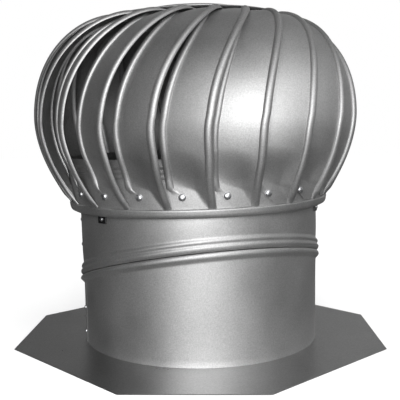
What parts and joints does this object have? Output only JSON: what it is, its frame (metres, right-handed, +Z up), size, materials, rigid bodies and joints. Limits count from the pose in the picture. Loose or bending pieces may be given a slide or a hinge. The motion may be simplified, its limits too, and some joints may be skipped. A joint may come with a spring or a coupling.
{
  "type": "roof turbine ventilator",
  "caption": "Roof turbine ventilator: a vaned head that spins on a shaft above a sheet collar, a sloping swivel seam and a square flashing with clipped corners.",
  "frame": {"origin": "middle of the flashing's underside, on the collar's axis", "axes": "+Z up out of the roof, -Y to the front, X and Y square with the flashing's sides"},
  "size_m": [0.462, 0.462, 0.4253],
  "materials": {
    "sheet": "satin mill finish",
    "flashing_sheet": "satin mill finish",
    "rivets": "bright",
    "brace": "satin black",
    "steel": "zinc plated"
  },
  "bodies": {
    "base": {"flashing": "flashing_sheet", "lower_collar": "sheet", "lower_seam_rivets": "rivets"},
    "swivel_collar": {"upper_collar": "sheet", "upper_seam_rivets": "rivets", "brace_arm_1": "brace", "brace_arm_2": "brace", "brace_arm_3": "brace", "brace_rivets": "rivets", "bearing_housing": "steel", "bearings": "steel"},
    "rotor": {"rotor_shaft": "steel", "shaft_nuts": "steel", "bottom_ring": "sheet", "crown_plate": "sheet", "crown_hub": "steel", "cap": "sheet", "vane_01": "sheet", "vane_02": "sheet", "vane_03": "sheet", "vane_04": "sheet", "vane_05": "sheet", "vane_06": "sheet", "vane_07": "sheet", "vane_08": "sheet", "vane_09": "sheet", "vane_10": "sheet", "vane_11": "sheet", "vane_12": "sheet", "vane_13": "sheet", "vane_14": "sheet", "vane_15": "sheet", "vane_16": "sheet", "vane_17": "sheet", "vane_18": "sheet", "vane_19": "sheet", "vane_20": "sheet", "vane_21": "sheet", "vane_rivets": "rivets"}
  },
  "joints": [
    {"name": "pitch_swivel", "type": "hinge", "parent": "base", "child": "swivel_collar", "pos_m": [0, 0, 0.0925], "axis": [-0.1011, 0.2528, 0.9622], "continuous": true},
    {"name": "rotor_spin", "type": "hinge", "parent": "swivel_collar", "child": "rotor", "pos_m": [0, 0, 0.0925], "axis": [-0.0197, -0.007, 0.9998], "continuous": true}
  ]
}
